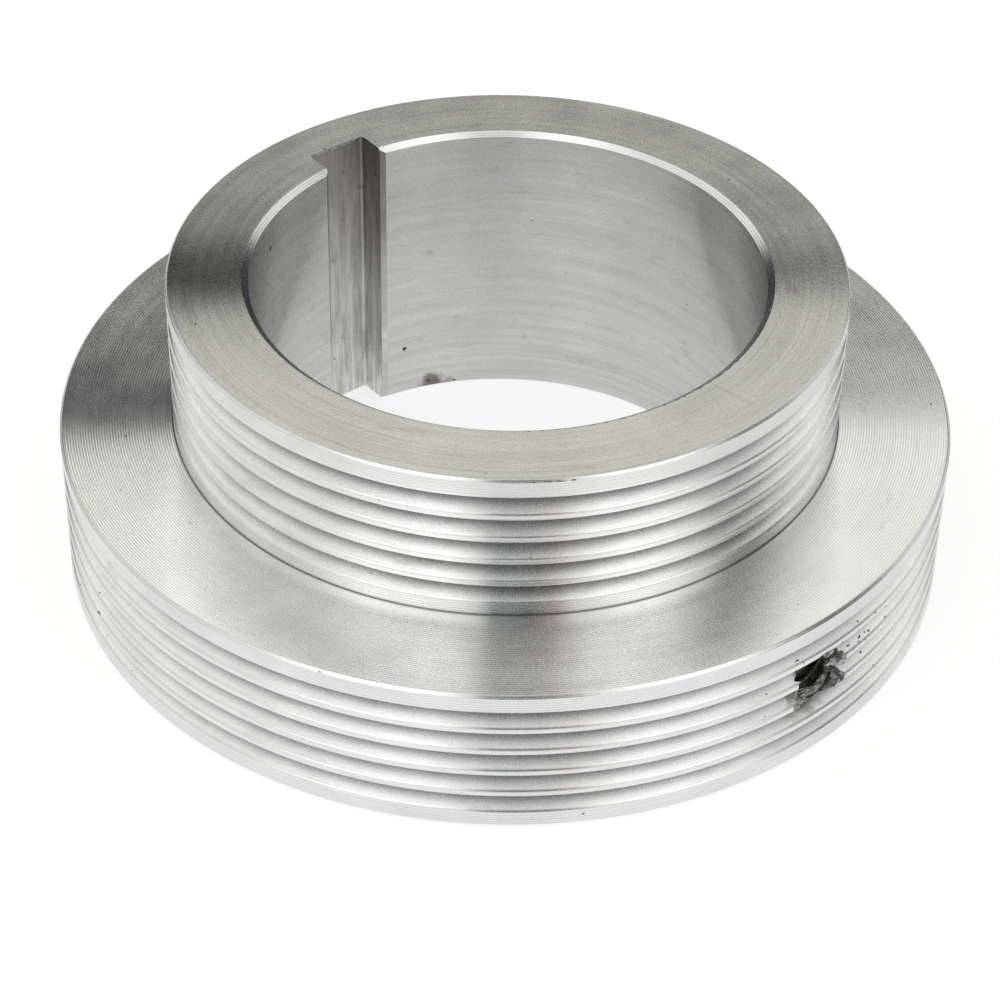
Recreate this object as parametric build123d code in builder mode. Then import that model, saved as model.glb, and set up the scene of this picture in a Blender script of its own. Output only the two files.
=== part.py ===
from build123d import *
import os
from math import cos, radians, sin, tan

# Two-step spindle pulley for ribbed belts, turned from one piece of aluminium.
# Millimetres. The origin is the centre of the bottom face, +Z runs up the bore towards the
# small step, and the keyway is centred on +Y. Angles are measured about +Z, anticlockwise
# seen from above, from +X.

# Belt grooves: ribs with flat tips between V grooves, the same section on both steps
groove_count = 5
rib_pitch = 2.34
groove_angle = 40
rib_tip_width = 0.64
groove_root_width = 0.4

# Turned body: each step is a land, its grooves and a second land
large_diameter = 81.0
large_top_land = 1.8
large_bottom_land = 1.9
small_diameter = 60.6
small_top_land = 1.8
small_bottom_land = 1.4
neck_break = 0.3
bottom_rim_break = 0.4
step_rim_break = 0.25
top_rim_break = 0.2

# Bore and its broached keyway
bore_diameter = 46.0
bore_chamfer_width = 0.6
bore_chamfer_height = 0.4
keyway_width = 6.0
keyway_depth = 3.0
keyway_corner_radius = 0.3
keyway_edge_break = 0.35

# Tapped hole for a set screw, drilled from the grooves of the large step into the bore
screw_angle = -86.6
screw_height = 8.2
tap_drill_diameter = 5.0

# Chips torn out of the ribs round the mouth of the hole, by the drill and the tap. Each is a
# shallow gouge: how far it lies to the right of the hole and above it, seen from outside, its
# width and height, its depth below the rib tips and its tilt
chips = [
    (-0.2, -2.45, 3.5, 1.1, 0.75, 3),
    (2.85, -1.75, 0.8, 1.15, 0.8, -15),
    (2.3, 1.8, 0.45, 1.9, 1.3, 12),
]

# Sizes that follow from the ones above
bore_radius = bore_diameter / 2
large_radius = large_diameter / 2
small_radius = small_diameter / 2
groove_mouth = rib_pitch - rib_tip_width
groove_band = (groove_count - 1) * rib_pitch + groove_mouth
groove_depth = (groove_mouth - groove_root_width) / 2 / tan(radians(groove_angle / 2))
step_height = large_bottom_land + groove_band + large_top_land
total_height = step_height + small_bottom_land + groove_band + small_top_land
keyway_floor = bore_radius + keyway_depth
screw_direction = Vector(cos(radians(screw_angle)), sin(radians(screw_angle)), 0)
clearance_cut = 1.0


def corner(sketch, radius, height):
    """The corner of the half section nearest to this radius and height."""
    return sketch.vertices().sort_by_distance((radius, height, 0))[0]


def groove_heights(bottom_edge):
    """Centre heights of one step's grooves, from the lower edge of its lowest groove."""
    return [bottom_edge + groove_mouth / 2 + i * rib_pitch for i in range(groove_count)]


grooves = [(large_radius, height) for height in groove_heights(large_bottom_land)]
grooves += [(small_radius, height) for height in groove_heights(step_height + small_bottom_land)]

with BuildPart() as spindle_pulley:
    # Half section of the turned body, revolved about the bore's axis
    with BuildSketch(Plane.XZ) as half_section:
        with Locations((bore_radius, 0)):
            Rectangle(large_radius - bore_radius, step_height, align=(Align.MIN, Align.MIN))
            Rectangle(small_radius - bore_radius, total_height, align=(Align.MIN, Align.MIN))
        chamfer(corner(half_section, large_radius, 0), bottom_rim_break)
        chamfer(corner(half_section, large_radius, step_height), step_rim_break)
        chamfer(corner(half_section, small_radius, total_height), top_rim_break)
        chamfer(corner(half_section, small_radius, step_height), neck_break)
        for height, inward in ((0, 1), (total_height, -1)):
            with BuildLine():
                Polyline(
                    (bore_radius, height),
                    (bore_radius + bore_chamfer_width, height),
                    (bore_radius, height + inward * bore_chamfer_height),
                    close=True,
                )
            make_face(mode=Mode.SUBTRACT)
        for radius, height in grooves:
            with BuildLine():
                Polyline(
                    (radius, height - groove_mouth / 2),
                    (radius, height + groove_mouth / 2),
                    (radius - groove_depth, height + groove_root_width / 2),
                    (radius - groove_depth, height - groove_root_width / 2),
                    close=True,
                )
            make_face(mode=Mode.SUBTRACT)
    revolve(axis=Axis.Z)

    # Keyway: a broached slot from face to face, with rounded corners and broken edges
    with BuildSketch() as keyway:
        with Locations((0, keyway_floor)):
            Rectangle(keyway_width, keyway_floor, align=(Align.CENTER, Align.MAX))
        fillet(keyway.vertices().group_by(Axis.Y)[-1], keyway_corner_radius)
    extrude(amount=total_height, mode=Mode.SUBTRACT)
    keyway_edges = (
        spindle_pulley.edges()
        .filter_by(Axis.Z)
        .filter_by(lambda e: abs(e.center().X) > keyway_width / 2 - 0.01)
        .filter_by(lambda e: e.center().Y < bore_radius)
    )
    chamfer(keyway_edges, keyway_edge_break)

    # Set-screw hole: from outside the large step to the axis, so that it opens into the bore
    screw_plane = Plane(
        origin=screw_direction * (large_radius + clearance_cut) + Vector(0, 0, screw_height),
        x_dir=Vector(0, 0, 1).cross(screw_direction),
        z_dir=screw_direction,
    )
    with BuildSketch(screw_plane):
        Circle(tap_drill_diameter / 2)
    extrude(amount=-(large_radius + clearance_cut), mode=Mode.SUBTRACT)

    # Torn ribs round the mouth of the hole
    for across, up, width, height, depth, tilt in chips:
        with BuildSketch(screw_plane):
            with Locations((across, up)):
                Rectangle(width, height, rotation=tilt)
        extrude(amount=-(clearance_cut + depth), mode=Mode.SUBTRACT)

spindle_pulley.part.label = "spindle_pulley"

os.makedirs("parts", exist_ok=True)
export_step(spindle_pulley.part, "parts/spindle_pulley.step")
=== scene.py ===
from collections import namedtuple
from math import atan2, ceil, cos, pi, radians, sin, sqrt, tan
from random import Random

import bmesh
import bpy
import numpy as np
from mathutils import Matrix, Vector, noise


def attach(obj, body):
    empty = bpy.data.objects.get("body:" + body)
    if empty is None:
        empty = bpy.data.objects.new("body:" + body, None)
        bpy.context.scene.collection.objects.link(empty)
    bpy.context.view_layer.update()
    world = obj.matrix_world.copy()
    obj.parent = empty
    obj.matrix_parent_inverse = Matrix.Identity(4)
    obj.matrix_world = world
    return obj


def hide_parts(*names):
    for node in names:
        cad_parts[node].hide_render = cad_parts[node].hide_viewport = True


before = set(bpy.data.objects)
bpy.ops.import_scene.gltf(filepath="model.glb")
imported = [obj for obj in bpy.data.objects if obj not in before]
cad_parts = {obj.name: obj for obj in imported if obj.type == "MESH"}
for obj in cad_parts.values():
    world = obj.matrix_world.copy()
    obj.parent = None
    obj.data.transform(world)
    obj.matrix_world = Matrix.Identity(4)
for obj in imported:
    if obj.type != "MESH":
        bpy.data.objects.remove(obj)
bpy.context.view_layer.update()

# The looks of a two-step ribbed-belt pulley, turned from bare aluminium. Sizes are in
# millimetres, as on the part, and turned into metres when a mesh is made. The frame is the
# part's own: +Z up the bore, the keyway on +Y, angles about +Z from +X.
MM = 0.001

# The turned section, with the same sizes as the solid
GROOVES = 5
PITCH = 2.34
GROOVE_ANGLE = radians(40)
RIB_TIP = 0.64
TIP_RADIUS = 0.32
ROOT_RADIUS = 0.3
ROOT_FILL = 0.6  # about how much shallower its rounding leaves a groove
LARGE_RADIUS = 40.5
LARGE_TOP_LAND = 1.8
LARGE_BOTTOM_LAND = 1.9
SMALL_RADIUS = 30.3
SMALL_TOP_LAND = 1.8
SMALL_BOTTOM_LAND = 1.4
NECK_RADIUS = 0.12
BOTTOM_RIM = 0.4
STEP_RIM = 0.25
TOP_RIM = 0.2
BREAK_RADIUS = 0.08
BORE_RADIUS = 23.0
CHAMFER_WIDTH = 0.6
CHAMFER_HEIGHT = 0.4
CHAMFER_ROUNDING = 0.05
KEYWAY_HALF_WIDTH = 3.0
KEYWAY_FLOOR = 26.0
KEYWAY_CORNER = 0.3
KEYWAY_BEVEL = 0.35
KEYWAY_OVERCUT = 1.5  # how far the bevel of its cutter runs on into the open bore
SCREW_ANGLE = radians(-86.6)
SCREW_HEIGHT = 8.2
TAP_DRILL_RADIUS = 2.5
THREAD_RADIUS = 3.0
THREAD_PITCH = 1.0
THREAD_HALF_ANGLE = radians(30)
THREAD_FLAT = 0.125  # width of the flat at the thread's outer end
THREAD_OVERRUN = 1.5  # how far the cutter of the hole runs on beyond the metal

MOUTH = PITCH - RIB_TIP
BAND = (GROOVES - 1) * PITCH + MOUTH
SHARP_DEPTH = MOUTH / 2 / tan(GROOVE_ANGLE / 2)
STEP = LARGE_BOTTOM_LAND + BAND + LARGE_TOP_LAND
HEIGHT = STEP + SMALL_BOTTOM_LAND + BAND + SMALL_TOP_LAND

AROUND = 240  # mesh steps round the axis
ARC_STEP = radians(16)  # most that one mesh step of a rounded corner turns
THREAD_ROWS, THREAD_COLUMNS = 12, 72  # mesh steps along one pitch and round the hole
TORN_STEP = 0.07  # mesh step of torn metal

# Zones of the surface, each with its own material, in the order of the mesh's slots
ZONES = ["face", "step", "land", "neck_shade", "rib", "flank", "bore", "keyway", "thread", "torn", "pit"]
KEYWAY_MARK, THREAD_MARK, TORN_MARK, PIT_MARK = -1, -2, -3, -4
CUT_ZONES = {KEYWAY_MARK: "keyway", THREAD_MARK: "thread", TORN_MARK: "torn", PIT_MARK: "pit"}
CREASE_ANGLE = radians(35)  # sharper edges than this in a cut aren't smoothed over

# Metal torn out of the ribs round the mouth of the set-screw hole: how far each gouge lies to
# the right of the hole and above it, seen from outside, its width and height, its depth below
# the rib tips and its tilt in degrees
GOUGES = [
    (-0.4, -2.15, 3.6, 1.25, 0.8, 3),
    (-2.5, -1.85, 1.2, 0.8, 0.3, 8),
    (2.85, -1.7, 0.8, 1.1, 0.9, -15),
    (2.35, 1.75, 0.5, 1.9, 1.3, 12),
    (2.75, 0.45, 0.8, 1.2, 1.1, 5),
    (2.5, -1.15, 1.3, 1.05, 1.7, 14),
    (-0.3, -2.8, 2.7, 0.24, 1.3, 4),
    (-2.55, 0.4, 0.5, 0.7, 0.4, 10),
]

# Torn metal that still hangs on at the mouth: how far it lies to the right of the hole, above
# it and below the rib tips, its length, height and thickness, and its tilt in degrees
FLAKES = [
    (1.75, 1.55, 0.95, 0.55, 1.15, 0.9, 8),
    (1.9, 0.75, 1.3, 0.7, 0.8, 0.7, 25),
    (2.0, 0.05, 0.9, 1.2, 0.45, 0.6, 12),
    (2.95, 0.55, 0.12, 0.35, 0.75, 0.25, 25),
    (3.2, -0.5, 0.25, 0.45, 0.3, 0.2, -10),
    (1.5, -1.75, 1.2, 1.2, 0.4, 0.6, 25),
    (-1.9, -1.35, 1.4, 0.7, 0.4, 0.7, -20),
]

# Strands drawn along the lower edge of the hole by the tap: each one's ends and its width
STRANDS = [
    ((-2.3, -1.35, 1.25), (-0.2, -1.75, 1.15), 0.15),
    ((-1.9, -1.6, 1.05), (0.5, -1.8, 0.95), 0.12),
    ((-1.6, -1.85, 0.85), (1.1, -1.75, 0.85), 0.16),
    ((-1.0, -2.05, 0.75), (1.5, -1.85, 0.75), 0.10),
    ((-0.6, -2.2, 0.7), (1.3, -2.1, 0.7), 0.12),
    ((-2.1, -2.05, 0.75), (-0.9, -2.15, 0.7), 0.10),
    ((0.3, 2.5, 0.12), (2.3, 2.42, 0.1), 0.12),
    ((-2.5, -1.5, 0.5), (-2.2, -0.6, 0.6), 0.12),
]

# Small dark marks: the angle in degrees, radius and height of each one's middle, and its
# length round the axis and its width across
MARKS = [
    (-81.0, 40.2, 9.1, 0.38, 0.15),
    (-80.0, 40.3, 8.9, 0.30, 0.11),
    (-78.7, 40.2, 9.1, 0.51, 0.17),
    (-76.9, 40.2, 9.05, 0.30, 0.19),
    (-79.8, 40.1, 11.4, 0.26, 0.19),
    (-76.6, 40.5, 11.1, 0.26, 0.15),
    (-73.4, 40.3, 9.0, 0.26, 0.17),
    (-70.8, 40.5, 8.5, 0.21, 0.15),
    (-68.3, 40.5, 6.5, 0.21, 0.15),
    (-67.2, 40.5, 8.6, 0.17, 0.11),
    (-77.7, 40.0, 6.8, 0.26, 0.22),
    (-75.1, 40.3, 4.3, 0.21, 0.11),
    (-95.0, 40.1, 9.1, 0.21, 0.14),
    (-95.1, 40.2, 6.7, 0.17, 0.11),
    (-90.6, 40.3, 11.4, 0.47, 0.12),
    (-90.0, 40.2, 11.2, 0.13, 0.30),
    (-84.3, 40.4, 11.3, 0.13, 0.09),
    (-87.5, 37.6, STEP, 0.17, 0.11),
    (-93.5, 39.4, STEP, 0.15, 0.11),
    (158.6, 40.2, 2.0, 0.26, 0.11),
    (169.0, 40.1, 6.7, 0.21, 0.15),
    (168.6, 40.4, 4.3, 0.51, 0.19),
    (167.4, 40.5, 1.9, 0.26, 0.15),
    (169.7, 40.5, 2.1, 0.17, 0.11),
    (177.3, 40.3, 2.0, 0.17, 0.11),
    (-171.5, 40.5, 6.5, 0.21, 0.09),
    (-173.2, 40.5, 4.2, 0.21, 0.09),
    (-155.1, 40.5, 1.8, 0.77, 0.06),
    (-153.0, 40.5, 6.5, 0.17, 0.09),
    (70.6, 23.0, 1.0, 0.30, 0.19),
    (63.9, 23.0, 0.6, 0.26, 0.15),
    (76.9, 23.0, 5.5, 0.30, 0.30),
    (105.4, 23.0, 20.9, 0.13, 0.15),
    (101.5, 23.0, 16.2, 0.10, 0.11),
    (121.7, 23.0, 25.8, 0.26, 0.34),
    (91.6, 26.0, 4.8, 0.17, 0.19),
    (-173.7, 24.8, HEIGHT, 0.17, 0.09),
    (-148.9, 30.3, 25.4, 0.17, 0.09),
    (-144.0, 30.3, 23.2, 0.17, 0.09),
    (-151.1, 29.6, 16.5, 0.21, 0.09),
    (-124.7, 30.1, 20.9, 0.17, 0.08),
    (-79.3, 40.25, 9.0, 0.25, 0.10),
    (-78.2, 40.4, 8.8, 0.20, 0.12),
    (-77.6, 40.25, 9.1, 0.30, 0.12),
    (-79.0, 40.0, 9.4, 0.18, 0.12),
    (-80.6, 40.3, 8.7, 0.15, 0.12),
    (-76.0, 40.1, 9.3, 0.20, 0.10),
    (-71.9, 40.1, 9.2, 0.25, 0.12),
    (-72.6, 40.5, 8.6, 0.15, 0.10),
    (-81.9, 40.4, 6.4, 0.20, 0.12),
    (-80.9, 40.2, 6.7, 0.18, 0.10),
]

# Burrs under the keyway's upper edge: each one's ends and its width
BURR_HEIGHT = HEIGHT - 0.15
BURRS = [
    ((-2.6, 25.99, BURR_HEIGHT), (2.6, 25.99, BURR_HEIGHT), 0.11),
    ((-2.98, 23.8, BURR_HEIGHT), (-2.98, 25.4, BURR_HEIGHT), 0.09),
]

# Nicks in the turned rims: angle, radius, height, length and width, as above
NICKS = [
    (125.4, 30.2, 29.0, 0.50, 0.30),
    (-32.8, 40.4, 14.7, 0.40, 0.30),
    (-124.5, 30.25, 28.85, 0.70, 0.12),
    (-122.3, 30.25, 28.87, 0.60, 0.14),
    (-120.4, 30.25, 28.85, 0.70, 0.12),
    (-118.3, 30.25, 28.86, 0.50, 0.16),
    (92.5, 26.2, 29.0, 0.30, 0.30),
    (-0.5, 40.4, 14.7, 0.35, 0.20),
    (12.0, 40.4, 14.7, 0.30, 0.20),
    (-150.5, 40.45, 14.6, 0.30, 0.15),
    (-105.0, 40.3, 0.2, 0.50, 0.25),
    (-63.0, 40.3, 0.2, 0.40, 0.25),
    (171.0, 40.3, 0.2, 0.40, 0.20),
    (40.0, 40.3, 0.2, 0.50, 0.25),
]

# Wear scattered besides, from one fixed seed: pits, nicks in the rims, each of which has its
# radius and height, and crumbs of dirt along the front of the bore's upper edge
WEAR_SEED = 7
STRAY_PITS = 70
STRAY_NICKS = 16
NICKED_RIMS = [(30.25, 28.95), (40.43, 14.7), (40.35, 0.15), (23.45, 28.98)]
RIM_CRUMBS = 17
MARK_JAG, FLAKE_JAG = 1.1, 0.35  # how ragged a mark and a flake are
MARK_DETAIL, FLAKE_DETAIL = 2, 4  # how often their ball's mesh is divided


def wrapped(angle):
    """The same angle between minus and plus half a turn."""
    return (angle + pi) % (2 * pi) - pi


def along(heading):
    """Unit direction of travel in the section's plane."""
    return Vector((cos(heading), sin(heading)))


def outward(heading):
    """Unit normal on the open side of a line of travel that has the metal on its right."""
    return Vector((-sin(heading), cos(heading)))


# The section: its corners, then the same with each corner rounded

def step_corners(radius, bottom, bottom_land):
    """Corners down the grooves of one step, from the highest to the lowest."""
    corners = []
    for i in reversed(range(GROOVES)):
        middle = bottom + bottom_land + MOUTH / 2 + i * PITCH
        corners.append((radius, middle + MOUTH / 2, TIP_RADIUS, "rib", "flank"))
        corners.append((radius - SHARP_DEPTH, middle, ROOT_RADIUS, "flank", "flank"))
        corners.append((radius, middle - MOUTH / 2, TIP_RADIUS, "rib", "rib"))
    corners[-1] = corners[-1][:4] + ("land",)
    return corners


def section_corners():
    """The closed half section, up the bore, out over the top and down the two steps. Each
    corner has its radius and height, its rounding, the zone of that rounding and the zone of
    the stretch that follows it."""
    return [
        (BORE_RADIUS, CHAMFER_HEIGHT, CHAMFER_ROUNDING, "bore", "bore"),
        (BORE_RADIUS, HEIGHT - CHAMFER_HEIGHT, CHAMFER_ROUNDING, "bore", "land"),
        (BORE_RADIUS + CHAMFER_WIDTH, HEIGHT, CHAMFER_ROUNDING, "land", "face"),
        (SMALL_RADIUS - TOP_RIM, HEIGHT, BREAK_RADIUS, "land", "land"),
        (SMALL_RADIUS, HEIGHT - TOP_RIM, BREAK_RADIUS, "land", "land"),
        *step_corners(SMALL_RADIUS, STEP, SMALL_BOTTOM_LAND),
        (SMALL_RADIUS, STEP, NECK_RADIUS, "neck_shade", "step"),
        (LARGE_RADIUS - STEP_RIM, STEP, BREAK_RADIUS, "land", "land"),
        (LARGE_RADIUS, STEP - STEP_RIM, BREAK_RADIUS, "land", "land"),
        *step_corners(LARGE_RADIUS, 0, LARGE_BOTTOM_LAND),
        (LARGE_RADIUS, BOTTOM_RIM, BREAK_RADIUS, "land", "land"),
        (LARGE_RADIUS - BOTTOM_RIM, 0, BREAK_RADIUS, "land", "face"),
        (BORE_RADIUS + CHAMFER_WIDTH, 0, CHAMFER_ROUNDING, "land", "land"),
    ]


def rounded_section(corners):
    """Points round the section, and for the stretch that starts at each point its zone and
    the surface's normals at its two ends."""
    points, stretches = [], []
    places = [Vector(corner[:2]) for corner in corners]
    headings = [atan2(b.y - a.y, b.x - a.x) for a, b in zip(places, places[1:] + places[:1])]
    for i, (place, corner) in enumerate(zip(places, corners)):
        rounding, arc_zone, zone = corner[2:]
        turn = wrapped(headings[i] - headings[i - 1])
        side = 1 if turn > 0 else -1
        start = place - along(headings[i - 1]) * rounding * tan(abs(turn) / 2)
        centre = start + outward(headings[i - 1]) * rounding * side
        steps = ceil(abs(turn) / ARC_STEP)
        normals = [outward(headings[i - 1] + turn * k / steps) for k in range(steps + 1)]
        points += [centre - normal * rounding * side for normal in normals]
        stretches += [(arc_zone, a, b) for a, b in zip(normals, normals[1:])]
        stretches.append((zone, normals[-1], normals[-1]))
    return points, stretches


# Meshes, made in millimetres

def new_object(name, vertices, faces):
    """An object of the scene, made of points and faces."""
    mesh = bpy.data.meshes.new(name)
    mesh.from_pydata(vertices, [], faces)
    mesh.update()
    piece = bpy.data.objects.new(name, mesh)
    bpy.context.scene.collection.objects.link(piece)
    return piece


def mark_faces(piece, values):
    """Stores on each face the stretch or cut that it belongs to, which the boolean cuts carry
    along."""
    attribute = piece.data.attributes.new("stretch", "INT", "FACE")
    attribute.data.foreach_set("value", np.asarray(values, dtype=np.int32))


def marked_object(name, vertices, faces, mark):
    """The same, with one mark on all its faces."""
    piece = new_object(name, vertices, faces)
    mark_faces(piece, [mark] * len(faces))
    return piece


def turned_body(points):
    """The section revolved about the axis, each face marked with its stretch."""
    count = len(points)
    angles = [2 * pi * j / AROUND for j in range(AROUND)]
    vertices = [(p.x * cos(a), p.x * sin(a), p.y) for a in angles for p in points]
    faces, marks = [], []
    for j in range(AROUND):
        here, there = j * count, (j + 1) % AROUND * count
        for i in range(count):
            n = (i + 1) % count
            faces.append((here + i, here + n, there + n, there + i))
            marks.append(i)
    piece = new_object("spindle_pulley_body", vertices, faces)
    mark_faces(piece, marks)
    return piece


def tube_faces(rows, columns):
    """Faces of a closed tube of rings of points, with a flat cap at each end."""
    faces = []
    for i in range(rows - 1):
        for j in range(columns):
            n = (j + 1) % columns
            low, high = i * columns, (i + 1) * columns
            faces.append((low + j, low + n, high + n, high + j))
    faces.append(tuple(reversed(range(columns))))
    faces.append(tuple(range((rows - 1) * columns, rows * columns)))
    return faces


def prism(name, outline, bottom, top, mark):
    """A closed prism along Z over an outline given anticlockwise."""
    vertices = [(x, y, z) for z in (bottom, top) for x, y in outline]
    return marked_object(name, vertices, tube_faces(2, len(outline)), mark)


def keyway_outline():
    """The keyway seen along the bore, with rounded corners at its floor and bevelled edges
    where its walls meet the bore."""
    wall_foot = sqrt(BORE_RADIUS**2 - KEYWAY_HALF_WIDTH**2)
    reach = KEYWAY_BEVEL + KEYWAY_OVERCUT
    right = [
        (KEYWAY_HALF_WIDTH + reach, wall_foot + KEYWAY_BEVEL - reach),
        (KEYWAY_HALF_WIDTH, wall_foot + KEYWAY_BEVEL),
    ]
    centre = (KEYWAY_HALF_WIDTH - KEYWAY_CORNER, KEYWAY_FLOOR - KEYWAY_CORNER)
    steps = 6
    for k in range(steps + 1):
        a = pi / 2 * k / steps
        right.append((centre[0] + KEYWAY_CORNER * cos(a), centre[1] + KEYWAY_CORNER * sin(a)))
    left = [(-x, y) for x, y in reversed(right)]
    return right + left


HOLE_OUT = Vector((cos(SCREW_ANGLE), sin(SCREW_ANGLE), 0))
HOLE_ACROSS = Vector((-sin(SCREW_ANGLE), cos(SCREW_ANGLE), 0))
HOLE_UP = Vector((0, 0, 1))


def hole_point(across, up, out):
    """A point beside the set-screw hole: to its right and above it, seen from outside, and
    out from the bore's axis."""
    middle = HOLE_OUT * out + HOLE_UP * SCREW_HEIGHT
    return middle + HOLE_ACROSS * across + HOLE_UP * up


def mouth_point(across, up, below):
    """The same, but with its depth below the rib tips."""
    return hole_point(across, up, sqrt(LARGE_RADIUS**2 - across**2) - below)


def thread_radius(turns):
    """Radius of a tapped hole's wall, a given number of turns along its thread."""
    away = abs(turns % 1 - 0.5) * THREAD_PITCH
    depth = max(0, away - THREAD_FLAT / 2) / tan(THREAD_HALF_ANGLE)
    return max(TAP_DRILL_RADIUS, THREAD_RADIUS - depth)


def thread_cutter():
    """What a drill and a tap remove: a closed rod with a screw thread."""
    inner, outer = BORE_RADIUS - THREAD_OVERRUN, LARGE_RADIUS + THREAD_OVERRUN
    rows, columns = int((outer - inner) / THREAD_PITCH * THREAD_ROWS), THREAD_COLUMNS
    vertices = []
    for i in range(rows + 1):
        out = inner + (outer - inner) * i / rows
        for j in range(columns):
            a = 2 * pi * j / columns
            r = thread_radius(out / THREAD_PITCH - j / columns)
            vertices.append(hole_point(r * cos(a), r * sin(a), out))
    return marked_object("thread_cutter", vertices, tube_faces(rows + 1, columns), THREAD_MARK)


def roughness_at(x, y, seed):
    """How far torn metal strays at a place, from minus to plus one."""
    return noise.noise((x, y, seed * 7.3))


def gouge(across, up, width, height, depth, tilt, seed):
    """A block over the rib tips whose underside is torn metal: ragged at its rim, furrowed
    along its tilt and deepest in the middle."""
    columns, rows = ceil(width / TORN_STEP), ceil(height / TORN_STEP)
    lean = Matrix.Rotation(radians(tilt), 2)
    clearance = 0.06
    under, over = [], []
    for i in range(rows + 1):
        for j in range(columns + 1):
            u, v = 2 * j / columns - 1, 2 * i / rows - 1
            flat = Vector((u * width, v * height)) / 2
            ragged = Vector((roughness_at(*flat * 2.5, seed), roughness_at(*flat * 2.5, seed + 40)))
            spot = lean @ (flat + 0.16 * ragged)
            furrow = roughness_at(u * width * 0.8, v * height * 4, seed + 10)
            crumb = roughness_at(u * width * 4, v * height * 6, seed + 20)
            bowl = sqrt((1 - u**4) * (1 - v**4))
            below = (depth + clearance) * bowl * (0.9 + 0.55 * furrow + 0.45 * crumb) - clearance
            x, y = across + spot.x, up + spot.y
            under.append(mouth_point(x, y, below))
            over.append(hole_point(x, y, LARGE_RADIUS + 1))
    wide = columns + 1
    shift = len(under)
    faces = []
    for i in range(rows):
        for j in range(columns):
            a = i * wide + j
            faces.append((a, a + wide, a + wide + 1, a + 1))
            faces.append((shift + a, shift + a + 1, shift + a + wide + 1, shift + a + wide))
    rim = list(range(wide)) + [i * wide + columns for i in range(1, rows + 1)]
    rim += [rows * wide + j for j in reversed(range(columns))]
    rim += [i * wide for i in reversed(range(1, rows))]
    for a, b in zip(rim, rim[1:] + rim[:1]):
        faces.append((a, b, shift + b, shift + a))
    return marked_object("gouge", under + over, faces, TORN_MARK)


def jagged_ball(centre, size, turn, jag, seed, detail):
    """Vertices and faces of a small lump with a jagged surface. Its size is given along the
    three directions of the turn matrix."""
    ball = bmesh.new()
    bmesh.ops.create_icosphere(ball, subdivisions=detail, radius=0.5)
    vertices = []
    for vertex in ball.verts:
        spot = vertex.co
        rough = noise.noise(spot * 3 + Vector((seed * 3.7, 0, 0)))
        rough += 0.5 * noise.noise(spot * 8 + Vector((0, seed * 5.1, 0)))
        swell = 1 + jag * rough
        vertices.append(centre + turn @ Vector([a * b * swell for a, b in zip(spot, size)]))
    faces = [tuple(v.index for v in face.verts) for face in ball.faces]
    ball.free()
    return vertices, faces


def kept_inside(point):
    """The same point, moved into the solid's outline if it lies beyond it."""
    limit = LARGE_RADIUS if point.z < STEP + 0.01 else SMALL_RADIUS + 0.2
    radius = Vector(point[:2]).length
    shrink = min(1, (limit - 0.003) / radius)
    return Vector((point.x * shrink, point.y * shrink, min(max(point.z, 0.003), HEIGHT - 0.003)))


HOLE_TURN = Matrix((HOLE_ACROSS, HOLE_UP, HOLE_OUT)).transposed()


def flake(across, up, below, length, height, thickness, tilt, seed):
    """A lump of torn metal at the mouth of the hole."""
    turn = HOLE_TURN @ Matrix.Rotation(radians(tilt), 3, "Z")
    centre = mouth_point(across, up, below)
    size = (length, height, thickness)
    vertices, faces = jagged_ball(centre, size, turn, FLAKE_JAG, seed, FLAKE_DETAIL)
    return marked_object("flake", [kept_inside(v) for v in vertices], faces, TORN_MARK)


def ridge(start, end, width, seed, sides=8, step=0.12):
    """A thin crooked ridge of raised metal between two points, thin at both ends."""
    run = end - start
    count = max(6, ceil(run.length / step))
    side = run.cross(Vector((0.31, 0.43, 0.85))).normalized()
    other = run.cross(side).normalized()
    vertices = []
    for i in range(count + 1):
        share = i / count
        far = share * run.length
        bend = side * noise.noise((far * 1.5, seed, 0)) + other * noise.noise((far * 1.5, 0, seed))
        middle = start + run * share + bend * width * 0.6
        swell = width / 2 * (0.15 + sqrt(4 * share * (1 - share)))
        swell *= 0.8 + 0.8 * noise.noise((far * 5, seed, seed))
        for j in range(sides):
            a = 2 * pi * j / sides
            vertices.append(kept_inside(middle + (side * cos(a) + other * sin(a)) * swell))
    return marked_object("ridge", vertices, tube_faces(count + 1, sides), TORN_MARK)


def combine(body, tool, operation):
    """Cuts the tool out of the body or joins it to the body, and removes the tool."""
    step = body.modifiers.new("step", "BOOLEAN")
    step.operation = operation
    step.solver = "EXACT"
    step.object = tool
    bpy.context.view_layer.update()
    evaluated = body.evaluated_get(bpy.context.evaluated_depsgraph_get())
    result = bpy.data.meshes.new_from_object(evaluated)
    body.modifiers.clear()
    old = body.data
    body.data = result
    bpy.data.meshes.remove(old)
    bpy.data.objects.remove(tool)


def tear_mouth(body):
    """Tears the ribs round the mouth of the set-screw hole."""
    for seed, sizes in enumerate(GOUGES):
        combine(body, gouge(*sizes, seed), "DIFFERENCE")
    for seed, sizes in enumerate(FLAKES):
        combine(body, flake(*sizes, seed), "UNION")
    for seed, (start, end, width) in enumerate(STRANDS):
        combine(body, ridge(mouth_point(*start), mouth_point(*end), width, seed + 1), "UNION")


def skin_radius(height):
    """Radius of the grooved side at a height."""
    radius, bottom = LARGE_RADIUS, LARGE_BOTTOM_LAND
    if height >= STEP:
        radius, bottom = SMALL_RADIUS, STEP + SMALL_BOTTOM_LAND
    above = height - bottom
    if not 0 < above < BAND:
        return radius
    off_middle = abs(above % PITCH - MOUTH / 2)
    depth = max(0, MOUTH / 2 - off_middle) / tan(GROOVE_ANGLE / 2)
    return radius - min(depth, SHARP_DEPTH - ROOT_FILL)


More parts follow.
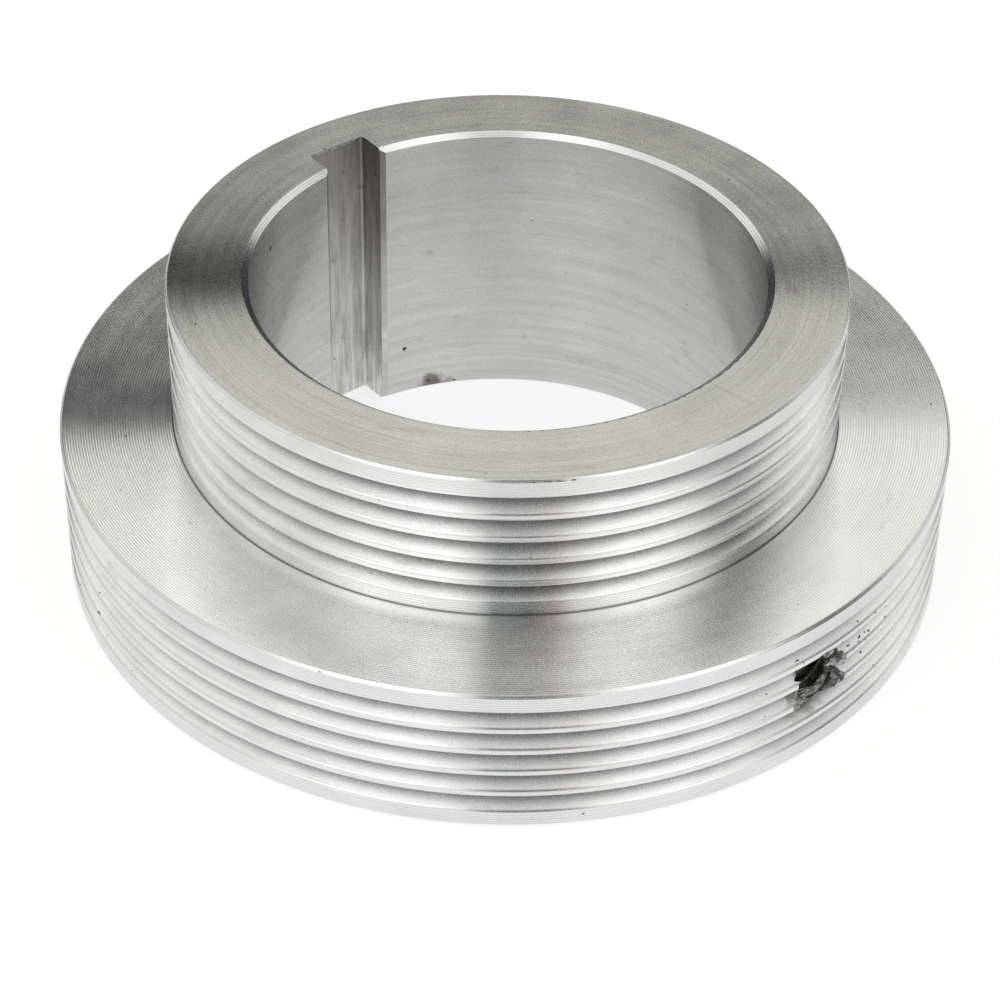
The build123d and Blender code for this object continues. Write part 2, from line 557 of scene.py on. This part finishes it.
def on_body(angle, radius, height):
    """The point at an angle in degrees, a radius and a height."""
    return Vector((radius * cos(radians(angle)), radius * sin(radians(angle)), height))


def marks_cutter(name, marks, mark, seed):
    """Many small jagged lumps in one mesh, to be cut out of the body together."""
    vertices, faces = [], []
    for i, (angle, radius, height, length, width) in enumerate(marks):
        if radius > SMALL_RADIUS - 1 and height not in (0, STEP, HEIGHT) and mark == PIT_MARK:
            radius = skin_radius(height)
        turn = Matrix.Rotation(radians(angle), 3, "Z")
        first = len(vertices)
        centre, size = on_body(angle, radius, height), (width, length, width)
        lump, sides = jagged_ball(centre, size, turn, MARK_JAG, seed + i, MARK_DETAIL)
        vertices += lump
        faces += [tuple(first + v for v in side) for side in sides]
    return marked_object(name, vertices, faces, mark)


def apart(spot, others):
    """Whether a mark lies clear of the others."""
    middle = on_body(*spot[:3])
    return all((middle - on_body(*other[:3])).length > spot[3] + other[3] for other in others)


def stray_marks(chance, others):
    """Pits scattered over the bore, the faces and the lands, clear of the other marks."""
    found = []
    while len(found) < STRAY_PITS:
        angle = chance.uniform(-180, 180)
        radius, height = chance.choice([
            (BORE_RADIUS, chance.uniform(1, HEIGHT - 1)),
            (BORE_RADIUS, chance.uniform(1, HEIGHT - 1)),
            (chance.uniform(24.2, 29.5), HEIGHT),
            (chance.uniform(31, 39.8), STEP),
            (LARGE_RADIUS, chance.choice([1.2, STEP - 0.9])),
            (chance.uniform(24.5, 39.5), 0),
        ])
        size = chance.uniform(0.07, 0.17)
        spot = (angle, radius, height, size * chance.uniform(1, 1.8), size)
        keyway = 80 < angle < 100 and radius < 27
        if not keyway and apart(spot, others + found):
            found.append(spot)
    return found


def rim_dirt(chance):
    """Dark crumbs along the front of the bore's upper edge."""
    found = []
    for k in range(RIM_CRUMBS):
        angle = -124 + 3.2 * k + chance.uniform(-0.8, 0.8)
        length, width = chance.uniform(0.3, 1.0), chance.uniform(0.07, 0.12)
        found.append((angle, BORE_RADIUS + CHAMFER_WIDTH, HEIGHT, length, width))
    return found


def stray_nicks(chance, others):
    """Nicks scattered along the rims, clear of the other marks."""
    found = []
    while len(found) < STRAY_NICKS:
        radius, height = chance.choice(NICKED_RIMS)
        angle = chance.uniform(-180, 180)
        spot = (angle, radius, height, chance.uniform(0.15, 0.4), chance.uniform(0.1, 0.2))
        keyway = 80 < angle < 100 and radius < 25
        if not keyway and apart(spot, others + found):
            found.append(spot)
    return found


def wear(body):
    """Pits, dark marks and nicks all over, and the ragged upper edge of the keyway."""
    chance = Random(WEAR_SEED)
    known = MARKS + rim_dirt(chance)
    pits = known + stray_marks(chance, known + NICKS)
    nicks = NICKS + stray_nicks(chance, pits + NICKS)
    for seed, (start, end, width) in enumerate(BURRS, 31):
        combine(body, ridge(Vector(start), Vector(end), width, seed), "UNION")
    combine(body, marks_cutter("pits_cutter", pits, PIT_MARK, 0), "DIFFERENCE")
    combine(body, marks_cutter("nicks_cutter", nicks, TORN_MARK, 100), "DIFFERENCE")


def sharpen_edges(mesh, mark):
    """Keeps the edges between turned and cut faces sharp, and the steep edges of the cuts."""
    edge_faces = {}
    for polygon in mesh.polygons:
        for key in polygon.edge_keys:
            edge_faces.setdefault(key, []).append(polygon.index)
    normals = np.zeros(len(mesh.polygons) * 3)
    mesh.polygons.foreach_get("normal", normals)
    normals = normals.reshape(-1, 3)
    crease = cos(CREASE_ANGLE)
    for edge in mesh.edges:
        a, b, *others = edge_faces[edge.key]
        mixed = min(mark[a], 0) != min(mark[b], 0)
        edge.use_edge_sharp = bool(others or mixed or normals[a] @ normals[b] < crease)


def corner_places(mesh):
    """Where each corner of each face is."""
    vertex = np.zeros(len(mesh.loops), np.int32)
    mesh.loops.foreach_get("vertex_index", vertex)
    place = np.zeros(len(mesh.vertices) * 3, np.float32)
    mesh.vertices.foreach_get("co", place)
    return place.reshape(-1, 3)[vertex].astype(float)


def dress_surface(body, points, stretches):
    """Gives each face its zone's material slot, each corner its distance along the section
    and below the rib tips, and the turned surface its true normals."""
    mesh = body.data
    mesh.shade_smooth()
    mark = np.zeros(len(mesh.polygons), np.int32)
    mesh.attributes["stretch"].data.foreach_get("value", mark)
    sizes = np.zeros(len(mesh.polygons), np.int32)
    mesh.polygons.foreach_get("loop_total", sizes)
    place = corner_places(mesh)
    mark_here = np.repeat(mark, sizes)
    turned = mark_here >= 0
    sharpen_edges(mesh, mark)
    shown = np.zeros(len(mesh.loops) * 3, np.float32)
    mesh.corner_normals.foreach_get("vector", shown)
    shown = shown.reshape(-1, 3).astype(float)

    # The normals of each stretch, from its start to its end
    starts = np.array([tuple(p) for p in points])
    steps = np.roll(starts, -1, 0) - starts
    lengths = np.linalg.norm(steps, axis=1)
    travel = steps / lengths[:, None]
    first = np.array([tuple(s[1]) for s in stretches])
    last = np.array([tuple(s[2]) for s in stretches])
    which = mark_here[turned]
    radius = np.hypot(place[turned, 0], place[turned, 1])
    flat = np.stack([radius, place[turned, 2]], 1)
    run = ((flat - starts[which]) * travel[which]).sum(1).clip(0, lengths[which])
    share = (run / lengths[which])[:, None]
    tilt = first[which] * (1 - share) + last[which] * share
    tilt /= np.linalg.norm(tilt, axis=1)[:, None]
    round_axis = place[turned, :2] / radius[:, None]
    shown[turned] = np.concatenate([round_axis * tilt[:, :1], tilt[:, 1:]], 1)
    mesh.normals_split_custom_set(shown)

    along_section = np.zeros(len(mesh.loops), np.float32)
    along_section[turned] = (np.cumsum(lengths) - lengths)[which] + run
    cut_here = ~turned
    along_section[cut_here] = place[cut_here, 0] + place[cut_here, 1]
    mesh.attributes.new("along", "FLOAT", "CORNER").data.foreach_set("value", along_section)
    step_radius = np.where(place[:, 2] > STEP, SMALL_RADIUS, LARGE_RADIUS)
    inset = (step_radius - np.hypot(place[:, 0], place[:, 1])).astype(np.float32)
    mesh.attributes.new("inset", "FLOAT", "CORNER").data.foreach_set("value", inset)

    zone_of = [ZONES.index(zone) for zone, _, _ in stretches]
    slots = [zone_of[m] if m >= 0 else ZONES.index(CUT_ZONES[m]) for m in mark]
    mesh.polygons.foreach_set("material_index", np.array(slots, np.int32))


# Materials

class Shader:
    """Nodes of a material or world, made in the order in which they feed each other."""

    def __init__(self, tree):
        self.nodes, self.links = tree.nodes, tree.links

    def add(self, kind, inputs=None, **settings):
        node = self.nodes.new(kind)
        for key, value in settings.items():
            setattr(node, key, value)
        for key, value in (inputs or {}).items():
            self.put(node, key, value)
        return node

    def put(self, node, key, value):
        """Sets an input to a number or colour, or links it to an output."""
        if isinstance(value, bpy.types.NodeSocket):
            self.links.new(value, node.inputs[key])
        else:
            node.inputs[key].default_value = value

    def math(self, operation, a, b=0.0, c=0.0):
        node = self.add("ShaderNodeMath", {0: a, 1: b, 2: c}, operation=operation)
        return node.outputs[0]

    def weigh(self, *terms):
        """Sum of numbers, each times its weight."""
        total = 0.0
        for value, weight in terms:
            total = self.math("MULTIPLY_ADD", value, weight, total)
        return total

    def vector(self, x=0.0, y=0.0, z=0.0):
        return self.add("ShaderNodeCombineXYZ", {0: x, 1: y, 2: z}).outputs[0]

    def scaled(self, vector, scale):
        inputs = {0: vector, "Scale": scale}
        return self.add("ShaderNodeVectorMath", inputs, operation="SCALE").outputs[0]

    def vector_math(self, operation, a, b=(0.0, 0.0, 0.0)):
        return self.add("ShaderNodeVectorMath", {0: a, 1: b}, operation=operation).outputs[0]

    def summed(self, a, b):
        return self.vector_math("ADD", a, b)

    def each_times(self, values, scale):
        """The values times a number, apart from those that are plain zeros."""
        return [v if v == 0.0 else self.math("MULTIPLY", v, scale) for v in values]

    def attribute(self, name):
        return self.add("ShaderNodeAttribute", attribute_name=name).outputs["Fac"]

    def noise(self, vector, scale, detail, roughness):
        inputs = {"Vector": vector, "Scale": scale, "Detail": detail, "Roughness": roughness}
        return self.add("ShaderNodeTexNoise", inputs).outputs["Fac"]

    def spread(self, value, low, high, to_low=0.0, to_high=1.0):
        """Maps low..high smoothly onto to_low..to_high."""
        inputs = {0: value, 1: low, 2: high, 3: to_low, 4: to_high}
        node = self.add("ShaderNodeMapRange", inputs, interpolation_type="SMOOTHSTEP")
        return node.outputs[0]

    def blend(self, share, low, high):
        """A colour between two others."""
        node = self.add("ShaderNodeMix", {0: share, 6: low, 7: high}, data_type="RGBA")
        return node.outputs[2]


# Each zone's colour and roughness, how far its tool lines tilt the surface and how much they
# shade it, the pitch, tilt and shade of its feed lines, the tilt of its grain, how far flecks
# of it have lost their gloss, and how dirty it is
Finish = namedtuple("Finish", "tint roughness line_tilt shade feed_pitch feed_tilt feed_shade"
                              " grain_tilt fleck dirt")
FINISH = {
    "face": Finish((0.71, 0.705, 0.65), 0.22, 0.12, 0.8, 0.16, 0.03, 0.03, 0.02, 0.2, 0.3),
    "step": Finish((0.89, 0.885, 0.865), 0.19, 0.05, 0.3, 0.24, 0.05, 0.06, 0.0, 0.04, 0.12),
    "land": Finish((0.77, 0.77, 0.775), 0.25, 0.04, 0.4, 0.25, 0.08, 0.08, 0.0, 0.1, 0.1),
    # The neck's rounding is coloured near black: painted shade in the crease under the small step
    "neck_shade": Finish((0.22, 0.22, 0.22), 0.26, 0.02, 0.3, 0.25, 0.0, 0.0, 0.0, 0.0, 0.2),
    "rib": Finish((0.82, 0.82, 0.825), 0.26, 0.02, 0.2, 0.20, 0.0, 0.0, 0.0, 0.05, 0.1),
    "flank": Finish((0.97, 0.97, 0.975), 0.26, 0.02, 0.2, 0.20, 0.0, 0.0, 0.0, 0.05, 0.2),
    "bore": Finish((0.60, 0.60, 0.595), 0.26, 0.16, 1.2, 0.30, 0.02, 0.02, 0.02, 0.1, 0.25),
    "keyway": Finish((0.60, 0.60, 0.585), 0.28, 0.55, 4.4, 0.30, 0.0, 0.0, 0.04, 0.2, 0.4),
    # The thread's near-black tint is painted shade deep inside the set-screw hole
    "thread": Finish((0.17, 0.165, 0.155), 0.42, 0.0, 1.0, 0.20, 0.0, 0.0, 0.03, 0.0, 0.5),
    "torn": Finish((0.50, 0.50, 0.49), 0.34, 0.0, 1.0, 0.20, 0.0, 0.0, 0.06, 0.0, 0.5),
    "pit": Finish((0.06, 0.055, 0.045), 0.60, 0.0, 1.0, 0.20, 0.0, 0.0, 0.03, 0.0, 0.0),
}
KEYWAY_PAINTED_SHADE = (4.0, 26.0, 0.0, 0.6)  # painted shade in the keyway, in the dirt's colour, growing from its foot to its top
ROOT_DEPTHS = (0.3, 1.9)  # how far below the rib tips the painted shade of the roots starts and is full
ROOT_PAINTED_SHADE = 0.42  # how bright the painted shade leaves the roots of the grooves, beside their flanks
FURROWS = (1.6, 5.0, 7.0)  # furrows of torn metal in each direction, per millimetre
# The colour of dirt, also used for the painted shade in the keyway
DIRT_AND_SHADE = (0.17, 0.155, 0.125, 1)

# Scale, detail and roughness of each kind of noise
LINE_NOISE = (2.2, 3.0, 0.65)
BAND_NOISE = (1.3, 2.0, 0.6)
PATCH_NOISE = (0.6, 3.0, 0.7)
GRAIN_NOISE = (7.0, 2.0, 0.7)
SMUDGE_NOISE = (0.16, 2.0, 0.6)
FURROW_NOISE = (1.0, 4.0, 0.7)

# Stains on some zones: the place, its size and its strength
STAINS = {
    "bore": [
        ((7.9, 21.6, 0.7), 1.6, 0.9),
        ((9.6, 20.9, 0.4), 0.9, 0.5),
        ((5.2, 22.4, 5.5), 0.35, 0.9),
        ((-12.1, 19.6, 25.8), 0.35, 1.0),
    ],
    "flank": [
        (tuple(hole_point(-0.7, -3.1, 39.7)), 1.3, 0.45),
        (tuple(hole_point(-2.6, -3.3, 39.6)), 0.9, 0.35),
        (tuple(hole_point(0.8, -3.3, 39.6)), 0.9, 0.3),
    ],
}


def line_normal(shader, travel, tilt, loose):
    """The surface's normal, tilted across the direction of the tool's travel."""
    level = shader.add("ShaderNodeNewGeometry").outputs["Normal"]
    across = shader.vector_math("CROSS_PRODUCT", travel, level)
    normal = shader.summed(level, shader.scaled(across, tilt))
    if loose:
        normal = shader.summed(normal, loose)
    return shader.vector_math("NORMALIZE", normal)


def stained(shader, place, soil_and_shade, stains):
    """The dirt, and any painted shade mixed in with it, with round, ragged stains added to it."""
    for centre, size, strength in stains:
        inputs = {"Vector": place, "Scale": 2.5 / size, "Detail": 3.0}
        wobble = shader.scaled(shader.add("ShaderNodeTexNoise", inputs).outputs["Color"], size)
        middle = Vector(centre) + Vector((size, size, size)) / 2
        away = shader.add("ShaderNodeVectorMath", {0: shader.summed(place, wobble), 1: middle},
                          operation="DISTANCE").outputs["Value"]
        soil_and_shade = shader.math("ADD", soil_and_shade, shader.spread(away, 0.3 * size, size, strength, 0.0))
    return shader.math("MINIMUM", soil_and_shade, 1.0)


def turned_metal(zone):
    """Aluminium as a tool leaves it: fine lines along its travel, each with its own depth and
    gloss, then grain, smudges and dirt, and in some zones painted shade."""
    finish = FINISH[zone]
    shade = finish.shade
    material = bpy.data.materials.new("aluminium_" + zone)
    material.use_nodes = True
    shader = Shader(material.node_tree)
    surface = material.node_tree.nodes["Principled BSDF"]
    place = shader.scaled(shader.add("ShaderNodeTexCoord").outputs["Object"], 1 / MM)
    x, y, z = shader.add("ShaderNodeSeparateXYZ", {0: place}).outputs
    run = shader.attribute("along")

    # Where the surface is along the tool's travel, which barely changes its lines
    if zone == "keyway":
        slow = (shader.math("MULTIPLY", z, 0.12), 0.0)
        travel = (0.0, 0.0, 1.0)
    else:
        squares = [(shader.math("MULTIPLY", v, v), 1.0) for v in (x, y)]
        radius = shader.math("SQRT", shader.weigh(*squares))
        slow = (shader.math("DIVIDE", x, radius), shader.math("DIVIDE", y, radius))
        travel = shader.vector(shader.math("MULTIPLY", slow[1], -1.0), slow[0])
    calm = shader.each_times(slow, 0.4)
    brisk = shader.each_times(slow, 9.0)
    lines = shader.noise(shader.vector(shader.math("MULTIPLY", run, 3.0), *calm), *LINE_NOISE)
    bands = shader.noise(shader.vector(run, *slow), *BAND_NOISE)
    patches = shader.noise(shader.vector(shader.math("MULTIPLY", run, 0.9), *brisk), *PATCH_NOISE)
    feed = shader.math("SINE", shader.math("MULTIPLY", run, 2 * pi / finish.feed_pitch))
    scale, detail, roughness = GRAIN_NOISE
    grain_node = shader.add("ShaderNodeTexNoise", {
        "Vector": place, "Scale": scale, "Detail": detail, "Roughness": roughness})
    grain = grain_node.outputs["Fac"]
    smudge = shader.noise(place, *SMUDGE_NOISE)

    if finish.line_tilt:
        tilt = shader.weigh((lines, finish.line_tilt), (feed, finish.feed_tilt))
        tilt = shader.math("SUBTRACT", tilt, finish.line_tilt / 2)
        loose = None
        if finish.grain_tilt:
            loose = shader.summed(grain_node.outputs["Color"], (-0.5, -0.5, -0.5))
            loose = shader.scaled(loose, finish.grain_tilt)
        normal = line_normal(shader, travel, tilt, loose)
    else:
        furrows = shader.noise(shader.vector_math("MULTIPLY", place, FURROWS), *FURROW_NOISE)
        height = shader.weigh((grain, finish.grain_tilt), (furrows, finish.grain_tilt * 2))
        # Where there are no tool lines, the colour darkens in the furrows' dips and lightens on
        # their crests: painted shade and painted highlight, following the same noise as the bumps
        lines = shader.spread(furrows, 0.35, 0.65, -1.6, 2.2)
        bump = {"Height": height, "Strength": 1.0, "Distance": MM}
        normal = shader.add("ShaderNodeBump", bump).outputs[0]

    # Colour: the lines' and bands' own shades, painted shade in the groove roots and towards the
    # keyway's top, and dirt in patches and stains
    tone = shader.weigh((lines, 0.3 * shade), (bands, 0.35 * shade), (smudge, 0.3),
                        (grain, 0.15), (feed, finish.feed_shade))
    tone = shader.math("ADD", tone, 0.775 - 0.325 * shade)
    # Painted shade: the flanks darken towards the roots of the grooves
    if zone == "flank":
        shadow = shader.spread(shader.attribute("inset"), *ROOT_DEPTHS, 1.0, ROOT_PAINTED_SHADE)
        tone = shader.math("MULTIPLY", tone, shadow)
    colour = shader.scaled(shader.vector(*finish.tint), tone)
    soil_and_shade = shader.math("MULTIPLY", shader.spread(patches, 0.58, 0.78), finish.dirt)
    # Painted shade: the keyway darkens towards its top
    if zone == "keyway":
        soil_and_shade = shader.math("ADD", soil_and_shade, shader.spread(z, *KEYWAY_PAINTED_SHADE))
    soil_and_shade = stained(shader, place, soil_and_shade, STAINS.get(zone, []))
    colour = shader.blend(soil_and_shade, colour, DIRT_AND_SHADE)
    gloss = shader.weigh((bands, 0.05), (smudge, 0.06), (grain, 0.05))
    gloss = shader.math("ADD", gloss, finish.roughness - 0.08)
    flecks = shader.spread(grain, 0.60, 0.72)
    gloss = shader.math("ADD", gloss, shader.weigh((soil_and_shade, 0.05), (flecks, finish.fleck)))

    tangent = shader.add("ShaderNodeTangent", direction_type="RADIAL", axis="Z").outputs[0]
    shader.put(surface, "Base Color", colour)
    shader.put(surface, "Metallic", 1.0)
    shader.put(surface, "Roughness", gloss)
    shader.put(surface, "Anisotropic", 1.0 if finish.line_tilt else 0.0)
    shader.put(surface, "Anisotropic Rotation", 0.0 if zone == "keyway" else 0.25)
    shader.put(surface, "Tangent", tangent)
    shader.put(surface, "Normal", normal)
    return material


# Camera and light, in the photograph's own directions: right, away from the camera, and up

VIEW_AZIMUTH = radians(-39)
VIEW_TURN = Matrix.Rotation(VIEW_AZIMUTH, 3, "Z")
CAMERA_ELEVATION = radians(38.374)
CAMERA_DISTANCE = 286.17
CAMERA_AIM = (-0.34, 0, 3.09)
CAMERA_ROLL = radians(1.113)
CAMERA_LENS = 109.79


def photo_camera():
    """The camera as it stood for the photograph, fitted to the circles seen there."""
    data = bpy.data.cameras.new("camera")
    data.sensor_width = 36
    data.lens = CAMERA_LENS
    data.clip_start = 0.01
    camera = bpy.data.objects.new("camera", data)
    bpy.context.scene.collection.objects.link(camera)
    back = Vector((0, -cos(CAMERA_ELEVATION), sin(CAMERA_ELEVATION)))
    place = Vector(CAMERA_AIM) + CAMERA_DISTANCE * back
    look = Matrix.Rotation(pi / 2 - CAMERA_ELEVATION, 3, "X") @ Matrix.Rotation(CAMERA_ROLL, 3, "Z")
    turn = (VIEW_TURN @ look).to_4x4()
    camera.matrix_world = Matrix.Translation(VIEW_TURN @ place * MM) @ turn
    bpy.context.scene.camera = camera


BACKDROP_RADIUS = 3000
BACKDROP_SIDES = 64
FLOOR_MARGIN = 1000  # how far the floor runs on behind the backdrop
FLOOR_DIFFUSE = 0.34
FLOOR_GLOW = 0.735

# A white tent, with azimuths in degrees from the photograph's right and 90 behind the pulley.
# Its light grows from its foot to its wall and again to its top, between these elevations
WORLD_STRENGTH = 0.87
TENT_FOOT = 0.5
TENT_WALL = 1.05
TENT_TOP = 1.18
WALL_RISE = (-5, 35)
TOP_RISE = (60, 78)
TENT_COLOUR = (1.0, 1.0, 0.94)
LAMP_COLOUR = (0.97, 0.985, 1.0)
NIGHT_COLOUR = (0.012, 0.016, 0.024)

# Each lamp or shade has the middle of its azimuth and half its width, its lower and upper
# edge, the softness of its sides and of its edges, and how much it adds or takes away
LAMPS = {
    "front left": (-128, 22, 30, 76, 12, 14, 1.15),
    "front right": (-34, 20, 34, 74, 12, 12, 1.1),
}
SHADES = {
    "camera": (-82, 14, -90, 60, 4, 7, 1.0),
    "far opening": (89, 34, -90, 60, 2, 3, 1.0),
    "far foot": (93, 50, -90, 26, 8, 5, 0.95),
    "right side": (-2, 14, -90, 50, 8, 10, 0.88),
}

# Faint light of the room on either side of the camera: its colour, then as for the lamps
GLIMMERS = {
    "right of the camera": ((1.0, 0.72, 0.55), (-72, 5, -30, 60, 3, 8, 0.25)),
    "left of the camera": ((0.55, 0.85, 1.0), (-90, 8, -30, 60, 4, 8, 0.10)),
}

# White sheets that hang behind the pulley: from left to right, from their lower to their upper
# edge, and how bright they are. Their lower edges make the dark patches on the flat faces
SHEET_DISTANCE = 300
SHEETS = {
    "sheet_left": (-195, -20, 250, 530, 1.34),
    "sheet_middle": (-20, 45, 243, 530, 1.25),
    "sheet_right": (45, 170, 231, 530, 1.34),
}


def far_sheet(name, left, right, low, high, level):
    """One white sheet, as a lamp as bright as the tent's wall times its level."""
    data = bpy.data.lights.new(name, "AREA")
    data.shape = "RECTANGLE"
    data.size, data.size_y = (right - left) * MM, (high - low) * MM
    data.energy = WORLD_STRENGTH * level * pi * data.size * data.size_y
    data.color = TENT_COLOUR
    sheet = bpy.data.objects.new(name, data)
    bpy.context.scene.collection.objects.link(sheet)
    place = Vector(((left + right) / 2, SHEET_DISTANCE, (low + high) / 2)) * MM
    turn = VIEW_TURN @ Matrix.Rotation(-pi / 2, 3, "X")
    sheet.matrix_world = Matrix.Translation(VIEW_TURN @ place) @ turn.to_4x4()
    sheet.visible_camera = False


def floor():
    """A pale, softly lit table: part of its light comes from below, so shadows stay faint."""
    size = BACKDROP_RADIUS + FLOOR_MARGIN
    corners = [(-size, -size, 0), (size, -size, 0), (size, size, 0), (-size, size, 0)]
    piece = new_object("floor", [Vector(c) * MM for c in corners], [(0, 1, 2, 3)])
    material = bpy.data.materials.new("floor")
    material.use_nodes = True
    shader = Shader(material.node_tree)
    surface = material.node_tree.nodes["Principled BSDF"]
    shader.put(surface, "Base Color", (FLOOR_DIFFUSE, FLOOR_DIFFUSE, FLOOR_DIFFUSE, 1))
    shader.put(surface, "Roughness", 1.0)
    shader.put(surface, "Specular IOR Level", 0.0)
    shader.put(surface, "Emission Color", (1, 1, 1, 1))
    shader.put(surface, "Emission Strength", FLOOR_GLOW)
    piece.data.materials.append(material)


def backdrop():
    """A plain pale wall far behind, seen only by the camera, so it casts no light."""
    sides = BACKDROP_SIDES
    foot = Vector((BACKDROP_RADIUS, 0, 0))
    ring = [Matrix.Rotation(2 * pi * k / sides, 3, "Z") @ foot for k in range(sides)]
    vertices = [(p + Vector((0, 0, z))) * MM for z in (0, BACKDROP_RADIUS) for p in ring]
    faces = [(k, (k + 1) % sides, sides + (k + 1) % sides, sides + k) for k in range(sides)]
    piece = new_object("backdrop", vertices, faces)
    material = bpy.data.materials.new("backdrop")
    material.use_nodes = True
    surface = material.node_tree.nodes["Principled BSDF"]
    surface.inputs["Base Color"].default_value = (0, 0, 0, 1)
    surface.inputs["Specular IOR Level"].default_value = 0.0
    surface.inputs["Emission Color"].default_value = (1, 1, 1, 1)
    surface.inputs["Emission Strength"].default_value = 1.0
    piece.data.materials.append(material)
    piece.visible_diffuse = piece.visible_glossy = False
    piece.visible_transmission = piece.visible_shadow = False


def patch(shader, azimuth, elevation, shape):
    """Light of one lamp or shade, from nothing around it to its level inside."""
    middle, half_width, low, high, side_soft, edge_soft, level = shape
    away = shader.math("ABSOLUTE", shader.math("SUBTRACT", azimuth, middle))
    across = shader.spread(away, half_width - side_soft, half_width + side_soft, level, 0.0)
    over = shader.spread(elevation, low - edge_soft, low + edge_soft)
    under = shader.spread(elevation, high - edge_soft, high + edge_soft, 1.0, 0.0)
    return shader.math("MULTIPLY", across, shader.math("MULTIPLY", over, under))


def surround():
    """The tent with its lamps, its shades and the dark room outside."""
    world = bpy.data.worlds.new("studio")
    world.use_nodes = True
    shader = Shader(world.node_tree)
    direction = shader.add("ShaderNodeTexCoord").outputs["Generated"]
    turned = shader.add("ShaderNodeVectorRotate", {"Vector": direction, "Angle": -VIEW_AZIMUTH},
                        rotation_type="Z_AXIS").outputs[0]
    x, y, z = shader.add("ShaderNodeSeparateXYZ", {0: turned}).outputs
    azimuth = shader.math("DEGREES", shader.math("ARCTAN2", y, x))
    elevation = shader.math("DEGREES", shader.math("ARCSINE", z))
    tent = shader.math("ADD", shader.spread(elevation, *WALL_RISE, TENT_FOOT, TENT_WALL),
                       shader.spread(elevation, *TOP_RISE, 0.0, TENT_TOP - TENT_WALL))
    light = shader.scaled(shader.vector(*TENT_COLOUR), tent)
    for lamp in LAMPS.values():
        glow = shader.scaled(shader.vector(*LAMP_COLOUR), patch(shader, azimuth, elevation, lamp))
        light = shader.summed(light, glow)
    for shade in SHADES.values():
        dark = patch(shader, azimuth, elevation, shade)
        light = shader.scaled(light, shader.math("SUBTRACT", 1.0, dark))
    for colour, glimmer in GLIMMERS.values():
        glow = shader.scaled(shader.vector(*colour), patch(shader, azimuth, elevation, glimmer))
        light = shader.summed(light, glow)
    light = shader.summed(light, shader.vector(*NIGHT_COLOUR))
    background = world.node_tree.nodes["Background"]
    shader.put(background, "Color", light)
    shader.put(background, "Strength", WORLD_STRENGTH)
    bpy.context.scene.world = world


def main():
    """Builds the studio and the pulley."""
    photo_camera()
    floor()
    backdrop()
    surround()
    for name, sheet in SHEETS.items():
        far_sheet(name, *sheet)
    points, stretches = rounded_section(section_corners())
    body = turned_body(points)
    keyway_cutter = prism("keyway_cutter", keyway_outline(), -1, HEIGHT + 1, KEYWAY_MARK)
    combine(body, keyway_cutter, "DIFFERENCE")
    combine(body, thread_cutter(), "DIFFERENCE")
    tear_mouth(body)
    wear(body)
    dress_surface(body, points, stretches)
    body.data.transform(Matrix.Scale(MM, 4))
    for zone in ZONES:
        body.data.materials.append(turned_metal(zone))
    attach(body, "root")
    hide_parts("spindle_pulley")
    bpy.context.scene.view_settings.view_transform = "Standard"


main()
